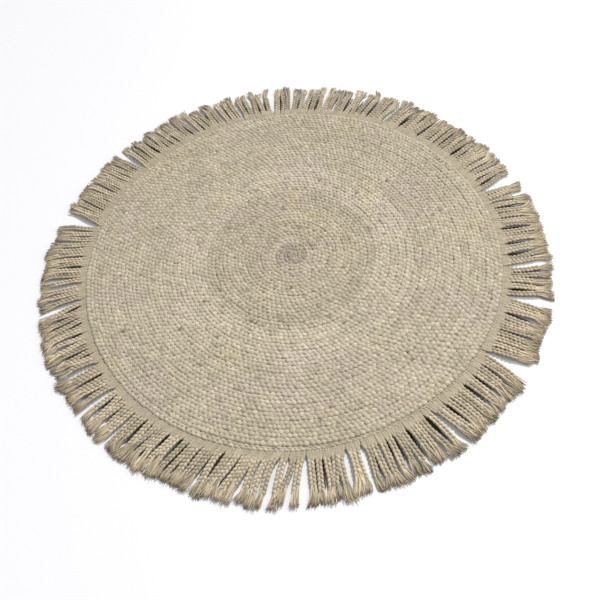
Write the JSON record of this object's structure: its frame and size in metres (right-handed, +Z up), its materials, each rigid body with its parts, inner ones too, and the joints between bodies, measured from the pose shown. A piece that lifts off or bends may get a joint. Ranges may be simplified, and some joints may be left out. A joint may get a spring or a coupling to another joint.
{
  "type": "round braided area rug",
  "caption": "Round jute rug: a flat braid wound in a spiral and sewn edge to edge, with a fringe of braided tassels round the rim.",
  "frame": {"origin": "centre of the underside, on the floor", "axes": "+Z up, out of the rug's top face; +X and +Y lie in the floor, and the braid's tapered outer end lies just clockwise of +X"},
  "size_m": [1.4904, 1.4908, 0.01],
  "materials": {
    "jute_braid": "matte natural jute, braided",
    "jute_tassel": "matte natural jute, braided and loose at the ends",
    "thread": "matte waxed sewing thread"
  },
  "bodies": {
    "root": {"field_braid": "jute_braid", "seam_thread": "thread", "rim_thread": "thread", "tassels_01": "jute_tassel", "tassels_02": "jute_tassel", "tassels_03": "jute_tassel", "tassels_04": "jute_tassel", "tassels_05": "jute_tassel", "tassels_06": "jute_tassel", "tassels_07": "jute_tassel", "tassels_08": "jute_tassel", "tassels_09": "jute_tassel", "tassels_10": "jute_tassel", "tassels_11": "jute_tassel", "tassels_12": "jute_tassel", "tassels_13": "jute_tassel", "tassels_14": "jute_tassel", "tassels_15": "jute_tassel", "tassels_16": "jute_tassel", "tassels_17": "jute_tassel", "tassels_18": "jute_tassel", "tassels_19": "jute_tassel", "tassels_20": "jute_tassel", "tassels_21": "jute_tassel", "tassels_22": "jute_tassel", "tassels_23": "jute_tassel", "tassels_24": "jute_tassel", "tassels_25": "jute_tassel", "tassels_26": "jute_tassel", "tassels_27": "jute_tassel", "tassels_28": "jute_tassel", "tassels_29": "jute_tassel", "tassels_30": "jute_tassel", "tassels_31": "jute_tassel", "tassels_32": "jute_tassel", "tassels_33": "jute_tassel", "tassels_34": "jute_tassel", "tassels_35": "jute_tassel", "tassels_36": "jute_tassel", "tassels_37": "jute_tassel", "tassels_38": "jute_tassel", "tassels_39": "jute_tassel", "tassels_40": "jute_tassel", "tassels_41": "jute_tassel", "tassels_42": "jute_tassel", "tassels_43": "jute_tassel", "tassels_44": "jute_tassel", "tassels_45": "jute_tassel", "tassels_46": "jute_tassel", "tassels_47": "jute_tassel", "tassels_48": "jute_tassel", "tassels_49": "jute_tassel", "tassels_50": "jute_tassel"}
  },
  "joints": []
}
